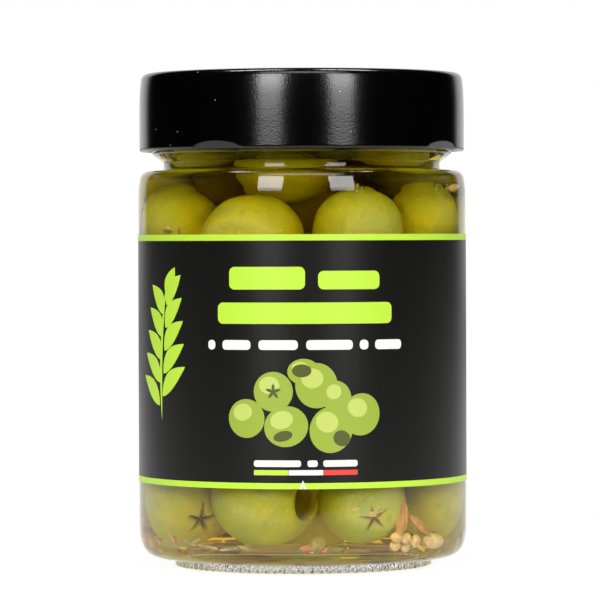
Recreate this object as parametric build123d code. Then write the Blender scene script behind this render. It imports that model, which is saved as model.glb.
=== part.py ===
from build123d import *

import math
import os

# A glass jar of pitted olives in oil, closed by a deep steel twist-off cap and wrapped
# in one paper label.
# Millimetres. +Z is up and is the axis of the jar. The origin is the centre of the foot
# ring, on the surface that the jar stands on. The middle of the label faces -Y.

# ---- driving sizes -------------------------------------------------------------------

BODY_RADIUS = 36.6          # outside of the straight glass wall
WALL = 2.6                  # glass of the body and the neck
LID_TOP = 109.8             # highest point of the closed jar
LID_HEIGHT = 17.4
LID_RADIUS = 36.3

# ---- glass: foot and heel ------------------------------------------------------------

FOOT_RADIUS = 28.7          # outside of the bearing ring
FOOT_WIDTH = 3.8            # radial width of the bearing ring
FOOT_HEIGHT = 2.0           # from the ground to the underside of the heel
FOOT_EDGE = 0.4             # rounding of the bearing ring
HEEL_WIDTH = 4.8            # how far the heel turns in from the wall
HEEL_HEIGHT = 7.5           # from the underside up to the straight wall
HEEL_WALL_PULL = 3.0        # handle of the heel's curve on the wall
HEEL_FLOOR_PULL = 4.6       # handle of the heel's curve on the underside
PUSH_UP = 2.8               # height of the hollow under the base, at the axis
BASE_TOP = 5.0              # inside floor, beside the wall
BASE_DOME = 0.8             # rise of the inside floor, at the axis
INNER_HEEL_RADIUS = 4.2

# ---- glass: shoulder and neck --------------------------------------------------------

SHOULDER_TOP = 88.1         # the nearly flat ring above the shoulder's corner
SHOULDER_CORNER = 2.2
NECK_RADIUS = 30.9          # outside of the groove under the transfer bead
NECK_FILLET = 0.9           # between the shoulder and the groove
GROOVE_TOP = 90.1
BEAD_RADIUS = 33.5          # transfer bead, half hidden by the lid
BEAD_WIDEST = 92.3
BEAD_TOP = 93.2

# ---- glass: finish under the lid -----------------------------------------------------

LID_WALL = 0.3              # lacquered tinplate
RIM_TOP = LID_TOP - LID_WALL
FINISH_RADIUS = 33.0        # outside of the finish, between its threads
BORE_RADIUS = 30.0          # inside of the finish
NECK_BORE_RADIUS = NECK_RADIUS - WALL
RIM_ROUNDING = 1.2
THREADS = 4
THREAD_HEIGHT = 1.9
THREAD_STAND = 1.5          # how far a thread stands out of the finish
THREAD_ROOT = 1.2           # how far it is set into the finish
THREAD_ARC = 52.0           # degrees that one thread covers
THREAD_SLANT = 2.6          # degrees
THREAD_MIDDLE = 95.2        # just above the lugs of the lid

# ---- lid -----------------------------------------------------------------------------

LID_CORNER = 1.8            # outside rounding between the top panel and the skirt
CURL_RADIUS = 0.6           # the rolled edge at the foot of the skirt
PANEL_RADIUS = 28.4         # the middle of the top, inside its raised ring
PANEL_DROP = 0.5
PANEL_SLOPE = 0.8           # width of the step between the ring and the panel
BUTTON_RADIUS = 13.5        # vacuum button, pulled flat by the vacuum
BUTTON_RISE = 0.3
BUTTON_SLOPE = 1.2
LUG_ARC = 20.0              # degrees that one lug covers
LUG_REACH = 1.7             # how far a lug reaches in from the curl
LUG_HEIGHT = 0.9
FIRST_LUG = -121.0          # direction of one lug, in degrees from +X

# ---- label ---------------------------------------------------------------------------

LABEL_BOTTOM = 19.0
LABEL_TOP = 73.9
LABEL_THICKNESS = 0.12
LABEL_LAP = 9.0             # degrees of overlap where the ends meet, at the back
BACK = 90.0                 # direction of the label's joint, in degrees from +X

# ---- contents ------------------------------------------------------------------------

OIL_LEVEL = 103.0           # hidden by the lid's skirt
INNER_RADIUS = BODY_RADIUS - WALL
INNER_SHOULDER = 83.4       # where the inside wall starts to close in
INNER_SHOULDER_TOP = 88.6   # where it reaches the bore of the neck


def around(profile):
    """The solid of a closed profile, drawn on the XZ plane, turned about the axis."""
    return revolve(make_face(profile), axis=Axis.Z)


def quarter(start, end, centre, radius):
    """An arc about centre from start to end, by the shorter way round."""
    middle = (Vector(start) + Vector(end)) / 2 - Vector(centre)
    bulge = Vector(centre) + middle.normalized() * radius
    return ThreePointArc(start, tuple(bulge), end)


def spot(radius, height):
    """A point of a profile: its distance from the axis and its height."""
    return (radius, 0, height)


def inside_line():
    """The inside of the glass, from the axis on its floor to the top of its bore."""
    floor = TangentArc(
        spot(0, BASE_TOP + BASE_DOME),
        spot(INNER_RADIUS - INNER_HEEL_RADIUS, BASE_TOP),
        tangent=(1, 0, 0),
    )
    heel = quarter(
        floor @ 1,
        spot(INNER_RADIUS, BASE_TOP + INNER_HEEL_RADIUS),
        spot(INNER_RADIUS - INNER_HEEL_RADIUS, BASE_TOP + INNER_HEEL_RADIUS),
        INNER_HEEL_RADIUS,
    )
    wall = Line(heel @ 1, spot(INNER_RADIUS, INNER_SHOULDER))
    # Two equal arcs make the S from the wall to the narrower neck.
    half = spot((INNER_RADIUS + NECK_BORE_RADIUS) / 2, (INNER_SHOULDER + INNER_SHOULDER_TOP) / 2)
    outer_arc = TangentArc(wall @ 1, half, tangent=(0, 0, 1))
    inner_arc = TangentArc(
        outer_arc @ 1,
        spot(NECK_BORE_RADIUS, INNER_SHOULDER_TOP),
        tangent=outer_arc % 1,
    )
    neck = Line(inner_arc @ 1, spot(NECK_BORE_RADIUS, BEAD_WIDEST))
    flare = Line(neck @ 1, spot(BORE_RADIUS, BEAD_WIDEST + 3))
    bore = Line(flare @ 1, spot(BORE_RADIUS, RIM_TOP - RIM_ROUNDING))
    return [floor, heel, wall, outer_arc, inner_arc, neck, flare, bore]


def outside_line(bore_top):
    """The outside of the glass, from the top of the bore over the rim and down to the axis."""
    lip = quarter(
        bore_top,
        spot(BORE_RADIUS + RIM_ROUNDING, RIM_TOP),
        spot(BORE_RADIUS + RIM_ROUNDING, RIM_TOP - RIM_ROUNDING),
        RIM_ROUNDING,
    )
    rim = Line(lip @ 1, spot(FINISH_RADIUS - RIM_ROUNDING, RIM_TOP))
    edge = quarter(
        rim @ 1,
        spot(FINISH_RADIUS, RIM_TOP - RIM_ROUNDING),
        spot(FINISH_RADIUS - RIM_ROUNDING, RIM_TOP - RIM_ROUNDING),
        RIM_ROUNDING,
    )
    finish = Line(edge @ 1, spot(FINISH_RADIUS, BEAD_TOP))
    bead = ThreePointArc(
        finish @ 1,
        spot(BEAD_RADIUS, BEAD_WIDEST),
        spot(BEAD_RADIUS - 0.6, BEAD_WIDEST - 0.8),
    )
    flank = Line(bead @ 1, spot(NECK_RADIUS, GROOVE_TOP))
    groove = Line(flank @ 1, spot(NECK_RADIUS, SHOULDER_TOP + NECK_FILLET))
    fillet = quarter(
        groove @ 1,
        spot(NECK_RADIUS + NECK_FILLET, SHOULDER_TOP),
        spot(NECK_RADIUS + NECK_FILLET, SHOULDER_TOP + NECK_FILLET),
        NECK_FILLET,
    )
    shoulder = Line(fillet @ 1, spot(BODY_RADIUS - SHOULDER_CORNER, SHOULDER_TOP))
    corner = quarter(
        shoulder @ 1,
        spot(BODY_RADIUS, SHOULDER_TOP - SHOULDER_CORNER),
        spot(BODY_RADIUS - SHOULDER_CORNER, SHOULDER_TOP - SHOULDER_CORNER),
        SHOULDER_CORNER,
    )
    body = Line(corner @ 1, spot(BODY_RADIUS, FOOT_HEIGHT + HEEL_HEIGHT))
    heel = Bezier(
        body @ 1,
        spot(BODY_RADIUS, FOOT_HEIGHT + HEEL_HEIGHT - HEEL_WALL_PULL),
        spot(BODY_RADIUS - HEEL_WIDTH + HEEL_FLOOR_PULL, FOOT_HEIGHT),
        spot(BODY_RADIUS - HEEL_WIDTH, FOOT_HEIGHT),
    )
    under = Polyline(
        heel @ 1,
        spot(FOOT_RADIUS, FOOT_HEIGHT),
        spot(FOOT_RADIUS, FOOT_EDGE),
        spot(FOOT_RADIUS - FOOT_EDGE, 0),
        spot(FOOT_RADIUS - FOOT_WIDTH + FOOT_EDGE, 0),
        spot(FOOT_RADIUS - FOOT_WIDTH, FOOT_EDGE),
    )
    # Drawn outwards from the axis, so that it is a true sphere about the axis.
    hollow = TangentArc(spot(0, PUSH_UP), under @ 1, tangent=(1, 0, 0))
    top = [lip, rim, edge, finish, bead, flank, groove, fillet, shoulder, corner]
    return [*top, body, heel, under, hollow]


def thread():
    """One slanted ridge of the finish, which a lug of the lid slides under."""
    half = THREAD_HEIGHT / 2
    section = make_face(
        Polyline(
            spot(FINISH_RADIUS - THREAD_ROOT, THREAD_MIDDLE - half),
            spot(FINISH_RADIUS + THREAD_STAND * 0.8, THREAD_MIDDLE - half * 0.5),
            spot(FINISH_RADIUS + THREAD_STAND, THREAD_MIDDLE),
            spot(FINISH_RADIUS + THREAD_STAND * 0.8, THREAD_MIDDLE + half * 0.5),
            spot(FINISH_RADIUS - THREAD_ROOT, THREAD_MIDDLE + half),
            close=True,
        )
    )
    ridge = revolve(section, axis=Axis.Z, revolution_arc=THREAD_ARC)
    ridge = ridge.rotate(Axis.Z, -THREAD_ARC / 2)
    return ridge.rotate(Axis((0, 0, THREAD_MIDDLE), (1, 0, 0)), THREAD_SLANT)


def glass_jar():
    """The blown jar: one shell of glass with its foot, shoulder, neck and threaded finish."""
    inside = inside_line()
    outside = outside_line(inside[-1] @ 1)
    axis = Line(outside[-1] @ 0, inside[0] @ 0)
    jar = around([*inside, *outside, axis])
    for turn in range(THREADS):
        jar += thread().rotate(Axis.Z, FIRST_LUG + (turn + 0.5) * 360 / THREADS)
    return jar


def oil_and_olives():
    """What fills the jar: the oil up to its level, with the olives sunk in it."""
    inside = inside_line()
    bore = Line(inside[-2] @ 1, spot(BORE_RADIUS, OIL_LEVEL))
    level = Line(bore @ 1, spot(0, OIL_LEVEL))
    axis = Line(level @ 1, inside[0] @ 0)
    return around([*inside[:-1], bore, level, axis])


def lid_side():
    """Half section of the lid's pressed sheet, from the foot of the skirt to the axis."""
    foot = LID_TOP - LID_HEIGHT + CURL_RADIUS
    inner_corner = LID_CORNER - LID_WALL
    inner_radius = LID_RADIUS - LID_WALL
    under_top = LID_TOP - LID_WALL
    corner_height = LID_TOP - LID_CORNER
    outer_skirt = Line(spot(LID_RADIUS, foot), spot(LID_RADIUS, corner_height))
    outer_corner = quarter(
        outer_skirt @ 1,
        spot(LID_RADIUS - LID_CORNER, LID_TOP),
        spot(LID_RADIUS - LID_CORNER, corner_height),
        LID_CORNER,
    )
    panel = LID_TOP - PANEL_DROP
    top = Polyline(
        outer_corner @ 1,
        spot(PANEL_RADIUS + PANEL_SLOPE, LID_TOP),
        spot(PANEL_RADIUS, panel),
        spot(BUTTON_RADIUS + BUTTON_SLOPE, panel),
        spot(BUTTON_RADIUS, panel + BUTTON_RISE),
        spot(0, panel + BUTTON_RISE),
        spot(0, panel + BUTTON_RISE - LID_WALL),
        spot(BUTTON_RADIUS, panel + BUTTON_RISE - LID_WALL),
        spot(BUTTON_RADIUS + BUTTON_SLOPE, panel - LID_WALL),
        spot(PANEL_RADIUS, panel - LID_WALL),
        spot(PANEL_RADIUS + PANEL_SLOPE, under_top),
        spot(inner_radius - inner_corner, under_top),
    )
    inner_bend = quarter(
        top @ 1,
        spot(inner_radius, under_top - inner_corner),
        spot(inner_radius - inner_corner, under_top - inner_corner),
        inner_corner,
    )
    inner_skirt = Line(inner_bend @ 1, spot(inner_radius, foot))
    end = Line(inner_skirt @ 1, spot(LID_RADIUS, foot))
    return [outer_skirt, outer_corner, top, inner_bend, inner_skirt, end]


def lug():
    """One place where the curl is pressed in to catch a thread of the glass."""
    outer = LID_RADIUS - CURL_RADIUS
    bottom = LID_TOP - LID_HEIGHT + CURL_RADIUS / 2
    section = make_face(
        Polyline(
            spot(outer, bottom),
            spot(outer, bottom + LUG_HEIGHT),
            spot(outer - LUG_REACH, bottom + LUG_HEIGHT),
            spot(outer - LUG_REACH, bottom + LUG_HEIGHT / 3),
            close=True,
        )
    )
    return revolve(section, axis=Axis.Z, revolution_arc=LUG_ARC).rotate(Axis.Z, -LUG_ARC / 2)


def lid():
    """The deep twist-off cap: pressed top and skirt, a rolled curl and its lugs."""
    sheet = around(lid_side())
    curl_centre = spot(LID_RADIUS - CURL_RADIUS, LID_TOP - LID_HEIGHT + CURL_RADIUS)
    curl = Solid.make_torus(LID_RADIUS - CURL_RADIUS, CURL_RADIUS)
    cap = sheet + curl.moved(Location((0, 0, curl_centre[2])))
    for turn in range(THREADS):
        cap += lug().rotate(Axis.Z, FIRST_LUG + turn * 360 / THREADS)
    return cap


def label():
    """The paper label, once round the jar, with its ends lapped at the back."""
    def strip(inner, arc):
        section = make_face(
            Polyline(
                spot(inner, LABEL_BOTTOM),
                spot(inner + LABEL_THICKNESS, LABEL_BOTTOM),
                spot(inner + LABEL_THICKNESS, LABEL_TOP),
                spot(inner, LABEL_TOP),
                close=True,
            )
        )
        return revolve(section, axis=Axis.Z, revolution_arc=arc)

    wrap = strip(BODY_RADIUS, 360)
    lap = strip(BODY_RADIUS + LABEL_THICKNESS, LABEL_LAP).rotate(Axis.Z, BACK - LABEL_LAP / 2)
    return wrap + lap


PIECES = {
    "glass_jar": glass_jar,
    "lid": lid,
    "label": label,
    "oil_and_olives": oil_and_olives,
}

os.makedirs("parts", exist_ok=True)
for name, build in PIECES.items():
    piece = build()
    export_step(piece, f"parts/{name}.step")
    print(f"{name}: {piece.volume / 1000:.2f} cm3, solids {len(piece.solids())}")
brimful = math.pi * BORE_RADIUS**2 * (RIM_TOP - OIL_LEVEL) / 1000
print(f"capacity to the rim: {oil_and_olives().volume / 1000 + brimful:.0f} ml")
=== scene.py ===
# %% [markdown]
# # A jar of olives
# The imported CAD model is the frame: a glass jar, its lid, its label and its contents, at
# their real sizes and places. Everything below is made around it, in metres, with +Z up
# and the middle of the label facing -Y.

# %% Load the frame
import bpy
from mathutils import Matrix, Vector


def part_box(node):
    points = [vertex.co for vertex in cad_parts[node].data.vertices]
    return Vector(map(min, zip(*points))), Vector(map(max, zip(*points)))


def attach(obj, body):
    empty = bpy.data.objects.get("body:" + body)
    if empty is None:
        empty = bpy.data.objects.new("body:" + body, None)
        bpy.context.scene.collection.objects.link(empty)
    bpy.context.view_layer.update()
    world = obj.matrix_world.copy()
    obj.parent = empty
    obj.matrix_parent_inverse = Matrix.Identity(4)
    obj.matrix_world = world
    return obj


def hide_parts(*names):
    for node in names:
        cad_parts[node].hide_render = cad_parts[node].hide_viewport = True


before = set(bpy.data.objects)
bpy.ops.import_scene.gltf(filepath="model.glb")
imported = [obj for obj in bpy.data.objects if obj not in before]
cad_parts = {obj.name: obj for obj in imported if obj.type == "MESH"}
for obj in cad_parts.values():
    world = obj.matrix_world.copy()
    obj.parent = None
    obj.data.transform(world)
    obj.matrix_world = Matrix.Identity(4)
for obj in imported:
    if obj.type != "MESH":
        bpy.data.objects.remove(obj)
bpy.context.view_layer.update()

# %% [markdown]
# ## Hands and units
# Sizes are written in millimetres and turned to metres at the last moment. Operators act on
# whatever is selected, so one helper clears the selection and makes one object active.

# %% Units and selection
import math
import random

import bmesh
import bpy
from mathutils import Matrix, Vector, noise

MM = 0.001


def alone(piece):
    """Only this object is selected and active, in object mode."""
    if bpy.context.object and bpy.context.object.mode != "OBJECT":
        bpy.ops.object.mode_set(mode="OBJECT")
    bpy.ops.object.select_all(action="DESELECT")
    piece.select_set(True)
    bpy.context.view_layer.objects.active = piece


def added(name):
    """Names the primitive that was just added, and gives it back."""
    piece = bpy.context.object
    piece.name = name
    piece.data.name = name
    return piece


def edit(piece, select="SELECT"):
    """Edit mode on this piece alone, with all of it selected or none of it."""
    alone(piece)
    bpy.ops.object.mode_set(mode="EDIT")
    bpy.ops.mesh.select_all(action=select)


def done():
    bpy.ops.object.mode_set(mode="OBJECT")


def smooth(piece, degrees=None):
    """Smooth shading, with an angle past which an edge stays sharp."""
    alone(piece)
    if degrees is None:
        bpy.ops.object.shade_smooth()
    else:
        bpy.ops.object.shade_smooth_by_angle(angle=math.radians(degrees))
    return piece


def settled(piece):
    """Applies the object's place, turn and scale, so that they are in its mesh."""
    alone(piece)
    bpy.ops.object.transform_apply(location=True, rotation=True, scale=True)
    return piece


def joined(name, parts):
    """One object from several."""
    alone(parts[0])
    for part in parts[1:]:
        part.select_set(True)
    bpy.ops.object.join()
    return added(name)


def copied(piece):
    """A copy with its own mesh."""
    twin = piece.copy()
    twin.data = piece.data.copy()
    bpy.context.collection.objects.link(twin)
    return twin


def thrown_away(piece):
    """Throws away a model once its copies are placed."""
    bpy.data.objects.remove(piece, do_unlink=True)


# %% [markdown]
# ## The camera
# A long lens, almost a metre away and as high as the upper edge of the label, looks at the
# front of the jar. It is tipped down by less than a degree, so the jar's sides stay
# upright. The long lens keeps the ellipses of the rims flat.

# %% Camera
CAMERA_DISTANCE = 921 * MM
CAMERA_HEIGHT = 73.3 * MM
CAMERA_ACROSS = -0.5 * MM
CAMERA_TILT = math.radians(0.878)
CAMERA_ROLL = math.radians(0.2)
SENSOR = 36
LENS = 246.7

camera_data = bpy.data.cameras.new("camera")
camera_data.sensor_width = SENSOR
camera_data.lens = LENS
camera_data.clip_start = 0.05
camera = bpy.data.objects.new("camera", camera_data)
camera.location = (CAMERA_ACROSS, -CAMERA_DISTANCE, CAMERA_HEIGHT)
aim = Matrix.Rotation(math.radians(90) - CAMERA_TILT, 3, "X")
camera.rotation_euler = (aim @ Matrix.Rotation(-CAMERA_ROLL, 3, "Z")).to_euler()
bpy.context.collection.objects.link(camera)
bpy.context.scene.camera = camera
print("camera", tuple(round(v, 3) for v in camera.location))

# %% [markdown]
# ## Colours and shader nodes
# A colour is written as the sRGB hex value that a paint chart would give, and one function
# turns it into the linear values that shaders work in. A second one adds a node, sets its
# inputs and links it, so that every material below reads as a short list of what it is.

# %% Colour and node helpers


def ink(hex_code):
    """Linear RGBA of an sRGB hex colour."""
    parts = [int(hex_code[i:i + 2], 16) / 255 for i in (1, 3, 5)]
    linear = [c / 12.92 if c <= 0.04045 else ((c + 0.055) / 1.055) ** 2.4 for c in parts]
    return (*linear, 1.0)


def node(tree, kind, inputs=None, **settings):
    """Adds a node. A value that is a socket is linked, any other is set."""
    made = tree.nodes.new(kind)
    for key, value in settings.items():
        setattr(made, key, value)
    for key, value in (inputs or {}).items():
        if isinstance(value, bpy.types.NodeSocket):
            tree.links.new(value, made.inputs[key])
        else:
            made.inputs[key].default_value = value
    return made


def new_material(name):
    """An empty material with its output node."""
    material = bpy.data.materials.new(name)
    material.use_nodes = True
    material.node_tree.nodes.clear()
    return material, material.node_tree, node(material.node_tree, "ShaderNodeOutputMaterial")


def dressed(piece, *materials):
    """The piece wears these materials and no others."""
    piece.data.materials.clear()
    for material in materials:
        piece.data.materials.append(material)
    return piece


def ramp(tree, factor, stops):
    """A colour ramp from a list of (place, hex colour)."""
    made = node(tree, "ShaderNodeValToRGB", {"Fac": factor})
    elements = made.color_ramp.elements
    while len(elements) < len(stops):
        elements.new(0.5)
    for element, (place, colour) in zip(elements, stops):
        element.position = place
        element.color = ink(colour)
    return made.outputs["Color"]


# %% [markdown]
# ## Turned shapes
# Glass, lid, label and oil are all round, so each is one line turned about the jar's axis.
# The line starts as a plane merged to a single point, which is extruded from corner to
# corner, and the spin operator carries it round. Corners are rounded before they are
# extruded, from a radius that each corner states.

# %% Rounded lines and the spin


def arc(start, corner, end, radius, pieces):
    """The points that replace a corner by an arc of that radius."""
    corner = Vector(corner)
    to_start = (Vector(start) - corner).normalized()
    to_end = (Vector(end) - corner).normalized()
    half = to_start.angle(to_end) / 2
    reach = radius / math.tan(half)
    centre = corner + (to_start + to_end).normalized() * (radius / math.sin(half))
    first = corner + to_start * reach - centre
    last = corner + to_end * reach - centre
    turn = first.angle(last)
    return [
        centre + (first * math.sin((1 - k / pieces) * turn) + last * math.sin(k / pieces * turn))
        / math.sin(turn)
        for k in range(pieces + 1)
    ]


def rounded(corners, pieces=6, closed=False):
    """A line of points from corners given as (radius, height) or (radius, height, rounding)."""
    points = []
    count = len(corners)
    for k, corner in enumerate(corners):
        inner = closed or 0 < k < count - 1
        if len(corner) == 3 and inner:
            before, after = corners[k - 1][:2], corners[(k + 1) % count][:2]
            points += arc(before, corner[:2], after, corner[2], pieces)
        else:
            points.append(Vector(corner[:2]))
    return points


def turned(name, points, steps=192, closed=False):
    """A line of (radius, height) points in millimetres, turned once round the axis."""
    bpy.ops.mesh.primitive_plane_add(size=MM)
    piece = added(name)
    edit(piece)
    bpy.ops.mesh.merge(type="CENTER")
    here = Vector((points[0][0], 0, points[0][1]))
    bpy.ops.transform.translate(value=here * MM)
    for point in points[1:] + ([points[0]] if closed else []):
        there = Vector((point[0], 0, point[1]))
        bpy.ops.mesh.extrude_region_move(TRANSFORM_OT_translate={"value": (there - here) * MM})
        here = there
    bpy.ops.mesh.select_all(action="SELECT")
    bpy.ops.mesh.spin(steps=steps, angle=2 * math.pi, center=(0, 0, 0), axis=(0, 0, 1))
    bpy.ops.mesh.select_all(action="SELECT")
    bpy.ops.mesh.remove_doubles(threshold=0.001 * MM)
    bpy.ops.mesh.normals_make_consistent(inside=False)
    done()
    return smooth(piece, 40)


# %% [markdown]
# ## The glass jar
# A blown jar is one shell of soda-lime glass. Its outside was pressed by a mould, so it is
# true, and its inside was shaped only by air, so the wall's thickness wanders a little.
# Light bends at both faces, and that wandering is what makes the contents swim. The line
# below goes up the inside from the axis, over the rim and down the outside to the foot.

# %% Glass: its line
BODY = 36.6
WALL = 2.6
INNER = BODY - WALL
NECK_IN = 28.3
LID_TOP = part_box("lid")[1][2] / MM
RIM = LID_TOP - 0.3

inside_corners = [
    (0, 5.8),
    (15, 5.6),
    (INNER, 5.0, 4.2),
    (INNER, 86.5, 2.3),
    (NECK_IN, 86.5, 2.4),
    (NECK_IN, 92.3, 2.0),
    (30.0, 95.3, 2.0),
    (30.0, RIM, 1.2),
]
outside_corners = [
    (33.0, RIM, 1.2),
    (33.0, 93.5, 0.2),
    (33.55, 93.0, 0.3),
    (33.45, 91.9, 0.5),
    (30.9, 90.1, 0.6),
    (30.9, 88.1, 0.8),
    (BODY - 0.85, 88.1, 2.0),
    (BODY - 0.38, 86.4),
    (BODY - 0.16, 85.1),
    (BODY - 0.02, 83.8),
    (BODY, 83.4),
]


def bezier(start, pull, reach, end, pieces):
    """Points along a cubic Bezier curve. pull and reach are its two handles."""
    points = []
    for k in range(pieces + 1):
        t = k / pieces
        points.append((1 - t) ** 3 * Vector(start) + 3 * (1 - t) ** 2 * t * Vector(pull)
                      + 3 * (1 - t) * t ** 2 * Vector(reach) + t ** 3 * Vector(end))
    return points


HEEL_IN = 31.8
UNDER = 2.0
heel = bezier((BODY, 9.5), (BODY, 6.5), (HEEL_IN + 4.6, UNDER), (HEEL_IN, UNDER), 12)
FOOT = 28.5
foot_corners = [
    (HEEL_IN, UNDER),
    (FOOT, UNDER, 0.3),
    (FOOT, 0.0, 0.5),
    (24.9, 0.0, 0.5),
    (24.4, 0.7),
    (12.5, 2.2),
    (0, 2.8),
]
inside_line = rounded(inside_corners + outside_corners[:1])[:-1]
wall_line = [Vector((BODY, z)) for z in (83.2, 80, 60, 40, 20, 13)]
outside_line = rounded([inside_corners[-1], *outside_corners])[1:]
foot_line = rounded(foot_corners)[1:]
print("glass line", len(inside_line) + len(outside_line) + len(heel) + len(foot_line), "points")

# %% [markdown]
# The foot of a jar is knurled: small ribs all round the bearing ring keep the hot glass from
# chilling flat on the conveyor. They are made here by pushing the ring's points in and out,
# rib by rib. The wandering of the inside wall is a slow noise on the points of the inside.

# %% Glass: the piece
KNURLS = 88
STEPS = 4 * KNURLS
# The ribs reach this high, over the ring's face from one radius and its flank from another.
KNURL_TOP = 1.9
FACE_FROM = 24.6
FLANK_FROM = 27.5
KNURL_DEEP = 0.15
NOTCH_TOP = 0.4
NOTCH_DEEP = 0.2
# The blown wall wanders between these heights, and less within EASE of each.
BLOWN_LOW = 8
BLOWN_HIGH = 86
EASE = 6


def wander(point):
    """How far the blown inside wall moves outwards at a point, in metres."""
    slow = noise.noise(point * 28) * 0.22
    slower = noise.noise(point * 9 + Vector((5, 2, 1))) * 0.2
    return (slow + slower) * MM


def swim(piece):
    """Moves the points of the blown wall along their own radius."""
    for vertex in piece.data.vertices:
        place = vertex.co
        radius = math.hypot(place.x, place.y)
        height = place.z / MM
        inner = 20 * MM < radius < INNER * MM + 0.3 * MM
        if inner and BLOWN_LOW < height < BLOWN_HIGH:
            ease = min(1, (height - BLOWN_LOW) / EASE, (BLOWN_HIGH - height) / EASE)
            push = wander(place) * ease / radius
            vertex.co = Vector((place.x * (1 + push), place.y * (1 + push), place.z))


jar = turned("jar_glass", inside_line + outside_line + wall_line + heel + foot_line, steps=STEPS)
swim(jar)
for vertex in jar.data.vertices:
    place = vertex.co
    height = place.z / MM
    radius = math.hypot(place.x, place.y) / MM
    if height < KNURL_TOP and FACE_FROM < radius < FOOT + 0.1:
        angle = math.atan2(place.y, place.x)
        uneven = noise.noise(Vector((math.cos(angle), math.sin(angle), 0)) * 9)
        rib = math.cos(angle * KNURLS) * (0.75 + 0.9 * uneven)
        low = 1 - height / KNURL_TOP
        push = KNURL_DEEP * rib * min(1, 3 * low) if radius > FLANK_FROM else 0
        place.x *= 1 + push / radius
        place.y *= 1 + push / radius
        if height < NOTCH_TOP:
            place.z += NOTCH_DEEP * MM * max(0, 1 - rib) / 2
jar.data.update()
print("jar", len(jar.data.polygons), "faces")

# %% [markdown]
# ## The lid
# A deep twist-off cap is pressed from tinplate a quarter of a millimetre thick: a flat top
# with a shallow step and a vacuum button, a straight skirt, and a foot that is rolled into
# a curl. At four places the curl is pressed inwards into lugs, and the skirt above each
# shows a soft dent. Here the sheet is thicker than that, 0.3 to 0.45 mm.

# %% Lid: its line and the piece
LID_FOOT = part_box("lid")[0][2] / MM
LID_R = 36.3
CURL = 0.6
PANEL = LID_TOP - 0.5

lid_corners = [
    (0, PANEL + 0.3),
    (13.0, PANEL + 0.3, 1.0),
    (15.0, PANEL, 1.0),
    (28.2, PANEL, 0.5),
    (29.2, LID_TOP, 0.5),
    (LID_R - 0.55, LID_TOP, 1.6),
    (LID_R - 0.28, 107.5),
    (LID_R - 0.14, 106),
    (LID_R - 0.05, 104),
    (LID_R, 101.5),
    (LID_R, LID_FOOT + CURL),
]
curl_line = [
    Vector((LID_R - CURL + CURL * math.cos(a), LID_FOOT + CURL + CURL * math.sin(a)))
    for a in [-k / 12 * 1.5 * math.pi for k in range(1, 13)]
]
lid_inner_corners = [
    (LID_R - 0.45, LID_FOOT + 2 * CURL),
    (LID_R - 0.45, 101),
    (LID_R - 1.0, LID_TOP - 0.35, 1.3),
    (29.3, LID_TOP - 0.3, 0.4),
    (28.3, PANEL - 0.3, 0.4),
    (15.0, PANEL - 0.3, 0.8),
    (13.0, PANEL, 0.8),
    (0, PANEL),
]
skirt_line = [Vector((LID_R, z)) for z in (99, 97, 95, 94.5, 94.1, 93.8, 93.5, 93.2)]
lid_line = rounded(lid_corners)[:-1] + skirt_line + [Vector(lid_corners[-1][:2])]
lid = turned("lid_shell", lid_line + curl_line + rounded(lid_inner_corners), steps=240)

LUG_HIGH = 1.7
LUG_DEEP = 0.5
LUG_PLACES = [math.radians(-121 + 90 * k) for k in range(4)]
for vertex in lid.data.vertices:
    place = vertex.co
    angle = math.atan2(place.y, place.x)
    height = place.z / MM - LID_FOOT
    radius = math.hypot(place.x, place.y)
    if height > LUG_HIGH or radius < 33 * MM:
        continue
    for lug in LUG_PLACES:
        apart = abs((angle - lug + math.pi) % (2 * math.pi) - math.pi)
        across = max(0, 1 - (apart / math.radians(9.5)) ** 2)
        up = max(0, 1 - (height / (LUG_HIGH * across ** 0.4 + 0.001)) ** 2)
        place.x -= math.cos(angle) * LUG_DEEP * MM * across ** 0.5 * up
        place.y -= math.sin(angle) * LUG_DEEP * MM * across ** 0.5 * up
lid.data.update()
print("lid", len(lid.data.polygons), "faces")

# %% [markdown]
# ## The label
# One strip of coated paper goes once round the straight wall. It is glued, so it has no air
# behind it: here its back is sunk a tenth of a millimetre into the glass. Its ends lap at
# the back of the jar.

# %% Label: the paper
LABEL_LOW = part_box("label")[0][2] / MM
LABEL_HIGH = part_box("label")[1][2] / MM
PAPER = BODY + 0.08
INK_TOP = BODY + 0.115



def hoop(name, inside, outside, low, high):
    """A thin ring round the jar, between two radii and two heights."""
    corners = [(inside, low), (outside, low), (outside, high), (inside, high)]
    return turned(name, [Vector(corner) for corner in corners], steps=256, closed=True)


paper = hoop("label_paper", BODY - 0.1, PAPER, LABEL_LOW, LABEL_HIGH)
print("label from", round(LABEL_LOW, 2), "to", round(LABEL_HIGH, 2), "mm")

# %% [markdown]
# ## The print
# Each mark of the print is drawn flat, as an outline filled with one face, cut into narrow
# strips by the bisect operator so that it can bend, given the thickness of an ink film and
# then wrapped round the label. Where the real label would carry words or a maker's sign,
# there are plain bars and a sprig of leaves.

# %% Print: drawing and wrapping


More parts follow.
